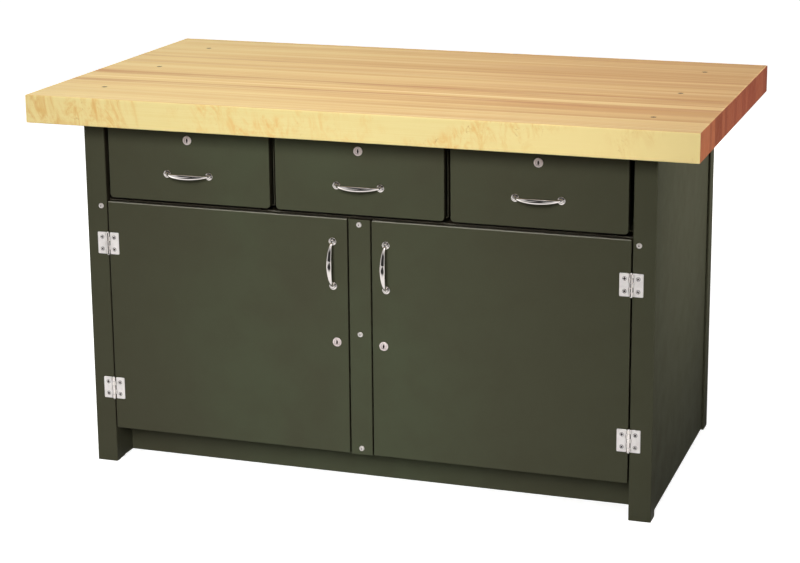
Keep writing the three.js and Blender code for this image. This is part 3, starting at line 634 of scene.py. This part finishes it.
def bow_pull():
    """An oval bar that swells in the middle, sprung between two feet."""
    start = -0.5 * PULL_FOOT
    crown = (-4 * PULL_PROJECTION + 0.5 * PULL_FOOT) / 3
    bend = 0.62 * PULL_HALF_SPAN
    ends = [Vector((-PULL_HALF_SPAN, start, 0)), Vector((-bend, crown, 0)),
            Vector((bend, crown, 0)), Vector((PULL_HALF_SPAN, start, 0))]
    steps, sides = 44, 24
    points = []
    for step in range(steps + 1):
        at, along = bezier(ends, step / steps)
        out = Vector((along.y, -along.x, 0))
        swell = math.sin(math.pi * step / steps) ** 1.2
        wide = PULL_END_RADIUS + PULL_WIDENING * swell
        thick = PULL_END_RADIUS + PULL_THICKENING * swell
        for side in range(sides):
            angle = 2 * math.pi * side / sides
            points.append(at + out * (thick * squared(math.cos(angle)))
                          + Vector((0, 0, wide * squared(math.sin(angle)))))
    faces = []
    for near in range(0, steps * sides, sides):
        far = near + sides
        for side in range(sides):
            turn = (side + 1) % sides
            faces.append((near + side, far + side, far + turn, near + turn))
    faces.append(tuple(range(sides)))
    faces.append(tuple(range(steps * sides, (steps + 1) * sides)))
    return points, faces, [METAL] * len(faces)


def pull_foot():
    """A turned foot: a ball on a waist and a flared base."""
    return lathe([
        (0, -9.6), (1.6, -9.45), (3.1, -8.9), (4.4, -7.9), (5.2, -6.6), (5.5, -5.3), (5.2, -4.2), (4.9, -3.6),
        (5.3, -3.2), (7.2, -2.9), (8.3, -2.5), (8.9, -1.7), (9.0, -0.9), (9.0, -PULL_GAP), (0, -PULL_GAP),
    ])


def pull_screw():
    """The head of a cross-head screw that holds a foot from behind, its cross in painted shade."""
    radius, rise, floor = PULL_SCREW_RADIUS, PULL_SCREW_RISE, PULL_SCREW_RECESS - PULL_SCREW_RISE
    cross = cross_edge(0.16 * radius, 0.56 * radius)
    return lathe([
        (0, floor, DARK),
        (cross_edge(0.10 * radius, 0.40 * radius), floor, DARK),
        (cross, 0.12 - rise, DARK),
        (cross, -rise),
        (0.80 * radius, -rise),
        (0.97 * radius, -0.55 * rise),
        (radius, 0.0),
        (0.6 * radius, 0.6),
        (0, 0.6),
    ], sides=48)


to_rear = Matrix.Rotation(math.pi, 3, "Z")
for node, turn, body in PULLS:
    centre, _, high = middle(node)
    at = Vector((centre.x, high.y + PULL_GAP, centre.z))
    pull = Shape()
    pull.add(bow_pull(), at, turn)
    screws = Shape()
    for foot_x in (-PULL_HALF_SPAN, PULL_HALF_SPAN):
        foot = at + turn @ Vector((foot_x, 0, 0))
        pull.add(pull_foot(), foot, turn)
        screws.add(pull_screw(), foot + Vector((0, PULL_SCREW_RISE, 0)), to_rear)
    piece(node + "_fine", pull, [CHROME], body, [node], crease=60)
    piece(node + "_screws", screws, [ZINC, RECESS_SHADE], body)


# Cam locks, in millimetres from the panel's face and from the lock's axis
LOCK_RISE = 2.9
LOCK_BORE = 6.35
LOCK_BARREL = 8.5
LOCK_FLANGE = 10.3
BARREL_BACK = 22.0
CAM_FRONT = 22.3
CAM_BACK = 24.2
CAM_HALF_WIDTH = 6.0
PLUG_RADIUS = 6.0
PLUG_BACK = 24.3
NUT_APOTHEM = 11.5
NUT_BORE = 8.7
NUT_FRONT = 1.9
NUT_BACK = 6.7
CAM_NUT_APOTHEM = 4.6
CAM_NUT_FRONT = 24.35
CAM_NUT_BACK = 27.0
KEY_HALF_WIDTH = 1.6
KEY_HALF_HEIGHT = 4.6
KEY_ROUND = 2.2
DRAWER_CAM = 30.0
DOOR_CAM = 40.0
LOCKS = [(f"drawer_{i}", DRAWER_CAM, math.pi / 2) for i in (1, 2, 3)]
LOCKS += [(f"{side}_door", DOOR_CAM, 0.0) for side in ("left", "right")]


def lock_case(seat):
    """A flanged barrel with its nut, the bore's mouth in painted shade."""
    case = Shape()
    case.add(lathe([
        (LOCK_BORE, 2.0, DARK), (LOCK_BORE, -2.3), (6.7, -2.75), (7.3, -LOCK_RISE), (8.6, -LOCK_RISE),
        (9.5, -2.65), (10.1, -2.0), (LOCK_FLANGE, -1.2), (LOCK_FLANGE, -0.3), (LOCK_BARREL, -0.3),
        (LOCK_BARREL, BARREL_BACK), (LOCK_BORE, BARREL_BACK), (LOCK_BORE, 2.0),
    ], sides=48), seat)
    nut = hexagon(NUT_APOTHEM)
    case.add(lathe([
        (NUT_BORE, NUT_FRONT), (nut, NUT_FRONT), (nut, 6.0), (10.6, NUT_BACK), (NUT_BORE, NUT_BACK),
        (NUT_BORE, NUT_FRONT),
    ], sides=48), seat)
    return case


def key_slot(angle):
    """The outline of a key slot with a round middle, as a radius at each angle."""
    return max(KEY_ROUND, slot_edge(KEY_HALF_WIDTH, KEY_HALF_HEIGHT)(angle))


def cam(length):
    """A flat bar with round ends, hung from the lock's axis."""
    outline, steps = [], 12
    for centre_z, start in ((0, 0), (CAM_HALF_WIDTH - length, math.pi)):
        for i in range(steps + 1):
            angle = start + math.pi * i / steps
            outline.append((CAM_HALF_WIDTH * math.cos(angle), centre_z + CAM_HALF_WIDTH * math.sin(angle)))
    return stacked([(outline, CAM_FRONT), (outline, CAM_BACK)])


def lock_plug(seat, cam_length, cam_turn):
    """A plug with a key slot in painted shade, and a cam and its nut at the back."""
    plug = Shape()
    plug.add(lathe([
        (0, 2.5, DARK), (key_slot, 2.5, DARK), (key_slot, -1.95), (4.9, -1.95), (5.0, -2.2), (5.5, -2.2),
        (5.9, -1.9), (PLUG_RADIUS, -1.4), (PLUG_RADIUS, PLUG_BACK), (0, PLUG_BACK),
    ], sides=48), seat)
    plug.add(cam(cam_length), seat, Matrix.Rotation(cam_turn, 3, "Y"))
    nut = hexagon(CAM_NUT_APOTHEM)
    plug.add(lathe([
        (0, CAM_NUT_FRONT), (nut, CAM_NUT_FRONT), (nut, 26.4), (4.0, CAM_NUT_BACK), (0, CAM_NUT_BACK),
    ], sides=36), seat)
    return plug


for owner, cam_length, cam_turn in LOCKS:
    case_node, plug_node = f"{owner}_lock_case", f"{owner}_lock_plug"
    centre, low, _ = middle(case_node)
    seat = Vector((centre.x, low.y + LOCK_RISE, centre.z))
    for node, shape in ((case_node, lock_case(seat)), (plug_node, lock_plug(seat, cam_length, cam_turn))):
        piece(node + "_fine", shape, [NICKEL, RECESS_SHADE], NODE_BODY[node], [node])


# Butt hinges, in millimetres from the pin's middle
HINGE_HEIGHT = 51.0
KNUCKLES = 5
KNUCKLE_PITCH = HINGE_HEIGHT / KNUCKLES
KNUCKLE_RADIUS = 3.25
KNUCKLE_EASE = 0.45
KNUCKLE_GAP = 0.2
LEAF_SHEET = 2.0
LEAF_START = 4.7
LEAF_REACH = 26.0
LEAF_CORNER = 1.6
LEAF_EASE = 0.4
WEB_REACH = 7.0
WEB_GAP = 0.3
WEB_EASE = 0.3
LEAF_SCREW_RADIUS = 4.7
LEAF_SCREW_RISE = 0.75
LEAF_SCREW_X = 14.8
LEAF_SCREW_Z = 14.0
# Radius and height of the rings of a pin's domed tip
PIN_TIP = ((0, 27.3), (1.4, 27.1), (2.3, 26.5), (2.6, 25.8), (1.5, 25.8))


def leaf_screw():
    """A screw head in a countersink of painted shade, with a wide worn cross whose recess is painted shade.
    """
    radius, rise = LEAF_SCREW_RADIUS, LEAF_SCREW_RISE
    cross = cross_edge(0.24 * radius, 0.70 * radius)
    return lathe([
        (0, -0.10, DARK),
        (cross_edge(0.16 * radius, 0.52 * radius), -0.10, DARK),
        (cross, 0.12 - rise, DARK),
        (cross, -rise),
        (0.76 * radius, -0.95 * rise),
        (0.84 * radius, -0.60 * rise, DARK),
        (0.87 * radius, -0.10, DARK),
        (radius, -0.06, DARK),
        (radius, 0.3, DARK),
        (0, 0.6),
    ], sides=48)


def knuckle(low, high):
    """A rolled knuckle with eased ends."""
    inner = KNUCKLE_RADIUS - KNUCKLE_EASE
    return upright(lathe([
        (0, low, POLISHED), (inner, low, POLISHED), (KNUCKLE_RADIUS, low + KNUCKLE_EASE, POLISHED),
        (KNUCKLE_RADIUS, high - KNUCKLE_EASE, POLISHED), (inner, high, POLISHED), (0, high),
    ], sides=28))


def hinge_leaf(axis, outward, first):
    """An eased leaf on one side of the pin, with every other knuckle and two screws."""
    leaf = Shape()
    foot, back = -HINGE_HEIGHT / 2, KNUCKLE_RADIUS
    front = back - LEAF_SHEET
    left, right = sorted((outward * LEAF_START, outward * LEAF_REACH))
    leaf.add(plate(left, foot, right, -foot, LEAF_CORNER, front, back, LEAF_EASE), axis)
    left, right = sorted((0.0, outward * WEB_REACH))
    for i in range(first, KNUCKLES, 2):
        low = foot + i * KNUCKLE_PITCH
        high = low + KNUCKLE_PITCH
        leaf.add(knuckle(low + KNUCKLE_GAP, high - KNUCKLE_GAP), axis)
        web = plate(left, low + WEB_GAP, right, high - WEB_GAP, WEB_EASE, front, back, WEB_EASE)
        leaf.add(web, axis)
    for screw_z in (-LEAF_SCREW_Z, LEAF_SCREW_Z):
        # Each cross stopped at an angle of its own
        spot = axis + Vector((outward * LEAF_SCREW_X, front, screw_z))
        spin = Matrix.Rotation(math.radians(31 * screw_z + 60 * outward + axis.z), 3, "Y")
        leaf.add(leaf_screw(), spot, spin)
    return leaf


def hinge_pin(axis):
    """A pin with a domed tip at each end."""
    pin = Shape()
    low_tip = [(radius, -z) for radius, z in PIN_TIP]
    pin.add(upright(lathe([*low_tip, *reversed(PIN_TIP)], sides=28)), axis)
    return pin


for side, sign in (("left", -1), ("right", 1)):
    for level in ("upper", "lower"):
        stem = f"{side}_{level}_hinge_"
        pin_node = stem + "pin"
        axis, _, _ = middle(pin_node)
        for part, outward, first in (("frame_leaf", sign, 0), ("door_leaf", -sign, 1)):
            node = stem + part
            leaf = hinge_leaf(axis, outward, first)
            piece(node + "_fine", leaf, [ZINC, RECESS_SHADE, CHROME], NODE_BODY[node], [node])
        piece(pin_node + "_fine", hinge_pin(axis), [ZINC], NODE_BODY[pin_node], [pin_node])


# Finishes of the CAD pieces that show
for node, thing in frame["nodes"].items():
    if thing.hide_render:
        continue
    thing.data.materials.clear()
    thing.data.materials.append(HARDWOOD if node == "worktop" else ENAMEL)


# Floor and world, in metres
FLOOR_HALF = 60.0
WHITE = (1.0, 1.0, 1.0)
WARM_WHITE = (1.0, 0.87, 0.74)
PAPER_GREY = (0.32, 0.32, 0.32)
LIT_PAPER = (0.52, 0.52, 0.52)


def by_ray(nodes, plain, mirrored, white):
    """White to the camera and through glass, the mirrored look in gloss, and plain to other light."""
    rays = nodes.add("ShaderNodeLightPath").outputs
    seen = nodes.math("MAXIMUM", rays["Is Camera Ray"], rays["Is Transmission Ray"])
    inner = nodes.add("ShaderNodeMixShader", {0: rays["Is Glossy Ray"], 1: plain, 2: mirrored}).outputs[0]
    return nodes.add("ShaderNodeMixShader", {0: seen, 1: inner, 2: white}).outputs[0]


def stage_floor():
    """White paper to the camera. Mirrored rays see it bright close in front of the bench and at its sides."""
    mesh = bpy.data.meshes.new("floor")
    corners = [(x * FLOOR_HALF, y * FLOOR_HALF, 0) for x, y in ((-1, -1), (1, -1), (1, 1), (-1, 1))]
    mesh.from_pydata(corners, [], [(0, 1, 2, 3)])
    floor = bpy.data.objects.new("floor", mesh)
    bpy.context.scene.collection.objects.link(floor)
    material = bpy.data.materials.new("floor_white")
    material.use_nodes = True
    mesh.materials.append(material)
    nodes = Nodes(material.node_tree)
    where, x, y, _ = nodes.place()
    paper = nodes.add("ShaderNodeBsdfDiffuse", {"Color": PAPER_GREY}).outputs[0]
    lit = nodes.add("ShaderNodeBsdfDiffuse", {"Color": LIT_PAPER}).outputs[0]
    far = nodes.add("ShaderNodeVectorMath", {0: where}, operation="LENGTH").outputs["Value"]
    glow = nodes.add("ShaderNodeEmission", {"Strength": nodes.spread(far, 1.3, 3.5, 0.80, 1.0)}).outputs[0]
    white = nodes.add("ShaderNodeAddShader", {0: lit, 1: glow}).outputs[0]
    near = nodes.times(nodes.spread(y, -1.7, -1.0, 0.04, 1.0), nodes.spread(y, -0.5, -0.2, 1.0, 0.1))
    aside = nodes.spread(nodes.magnitude(x), 1.1, 1.8, 0.0, 0.6)
    beside = nodes.times(aside, nodes.spread(y, 0.0, 0.7, 1.0, 0.0))
    mirrored = nodes.add("ShaderNodeEmission", {"Strength": nodes.plus(near, beside)}).outputs[0]
    nodes.add("ShaderNodeOutputMaterial", {"Surface": by_ray(nodes, paper, mirrored, white)})


def studio_world(strength):
    """Warm even light, and white for the camera. Mirrored rays see a dim room with pale sides and ceiling."""
    world = bpy.data.worlds.new("studio")
    world.use_nodes = True
    bpy.context.scene.world = world
    nodes = Nodes(world.node_tree)
    _, x, y, z = nodes.place("Generated")
    rear = nodes.spread(y, -0.3, 0.3, 0.03, 0.12)
    ceiling = nodes.spread(z, 0.48, 0.85, 0.0, 0.75)
    sides = nodes.spread(nodes.magnitude(x), 0.55, 0.85, 0.0, 0.6)
    room = nodes.plus(rear, ceiling, sides)
    lights = [nodes.add("ShaderNodeBackground", {"Color": colour, "Strength": level}).outputs[0]
              for colour, level in ((WARM_WHITE, strength), (WHITE, room), (WHITE, 1.0))]
    nodes.add("ShaderNodeOutputWorld", {"Surface": by_ray(nodes, *lights)})


# Lamps and camera
FRAME_WIDTH = 800
FRAME_HEIGHT = 563
SENSOR_WIDTH = 36.0
# The camera's focal length and the point that its lens looks straight at, in pixels
FOCAL_PIXELS = 2038.4
LENS_PIXEL_X = 430.0
LENS_PIXEL_Y = 206.0


def soft_light(name, at, aim, wide, high, watts, beam=180, mirrored=False):
    """A rectangular lamp that the camera doesn't see. Gloss shows it only where mirrored is set."""
    lamp = bpy.data.lights.new(name, "AREA")
    lamp.shape = "RECTANGLE"
    lamp.size, lamp.size_y = wide, high
    lamp.energy = watts
    lamp.spread = math.radians(beam)
    thing = bpy.data.objects.new(name, lamp)
    bpy.context.scene.collection.objects.link(thing)
    thing.location = at
    thing.rotation_euler = (Vector(aim) - Vector(at)).to_track_quat("-Z", "Y").to_euler()
    thing.visible_camera = False
    thing.visible_glossy = mirrored


def photo_camera(azimuth, elevation, roll, distance, target):
    """A camera that sees the target from the photograph's viewing angle. Angles are in degrees."""
    azimuth, elevation, roll = (math.radians(angle) for angle in (azimuth, elevation, roll))
    level = math.cos(elevation)
    back = Vector((math.sin(azimuth) * level, -math.cos(azimuth) * level, math.sin(elevation)))
    right = Vector((math.cos(azimuth), math.sin(azimuth), 0))
    up = back.cross(right)
    right, up = right * math.cos(roll) + up * math.sin(roll), up * math.cos(roll) - right * math.sin(roll)
    data = bpy.data.cameras.new("photo")
    data.sensor_width = SENSOR_WIDTH
    data.lens = FOCAL_PIXELS * SENSOR_WIDTH / FRAME_WIDTH
    data.shift_x = (FRAME_WIDTH / 2 - LENS_PIXEL_X) / FRAME_WIDTH
    data.shift_y = (LENS_PIXEL_Y - FRAME_HEIGHT / 2) / FRAME_WIDTH
    camera = bpy.data.objects.new("photo", data)
    bpy.context.scene.collection.objects.link(camera)
    turn = Matrix((right, up, back)).transposed().to_4x4()
    camera.matrix_world = Matrix.Translation(Vector(target) + back * distance) @ turn
    bpy.context.scene.camera = camera


stage_floor()
studio_world(strength=0.10)
soft_light("key", at=(0.60, -4.2, 2.35), aim=(-0.16, -0.3, 0.44), wide=1.2, high=1.9, watts=17.2, beam=46)
soft_light("overhead", at=(0.25, -0.5, 3.6), aim=(0.3, -0.4, 0.8), wide=3.2, high=2.0, watts=50,
           mirrored=True)
soft_light("right", at=(4.2, 1.7, 1.1), aim=(0.66, 0.05, 0.70), wide=0.6, high=0.6, watts=3.9, beam=22)
soft_light("left", at=(-3.2, 0.4, 1.4), aim=(-0.66, 0, 0.45), wide=1.6, high=1.6, watts=60)
soft_light("back", at=(0.0, 3.8, 1.5), aim=(0, 0.3, 0.45), wide=2.4, high=1.8, watts=58)
photo_camera(azimuth=18.077, elevation=13.446, roll=-0.283, distance=4.7790, target=(0.0485, 0.0, 0.5806))
bpy.context.scene.view_settings.view_transform = "Standard"
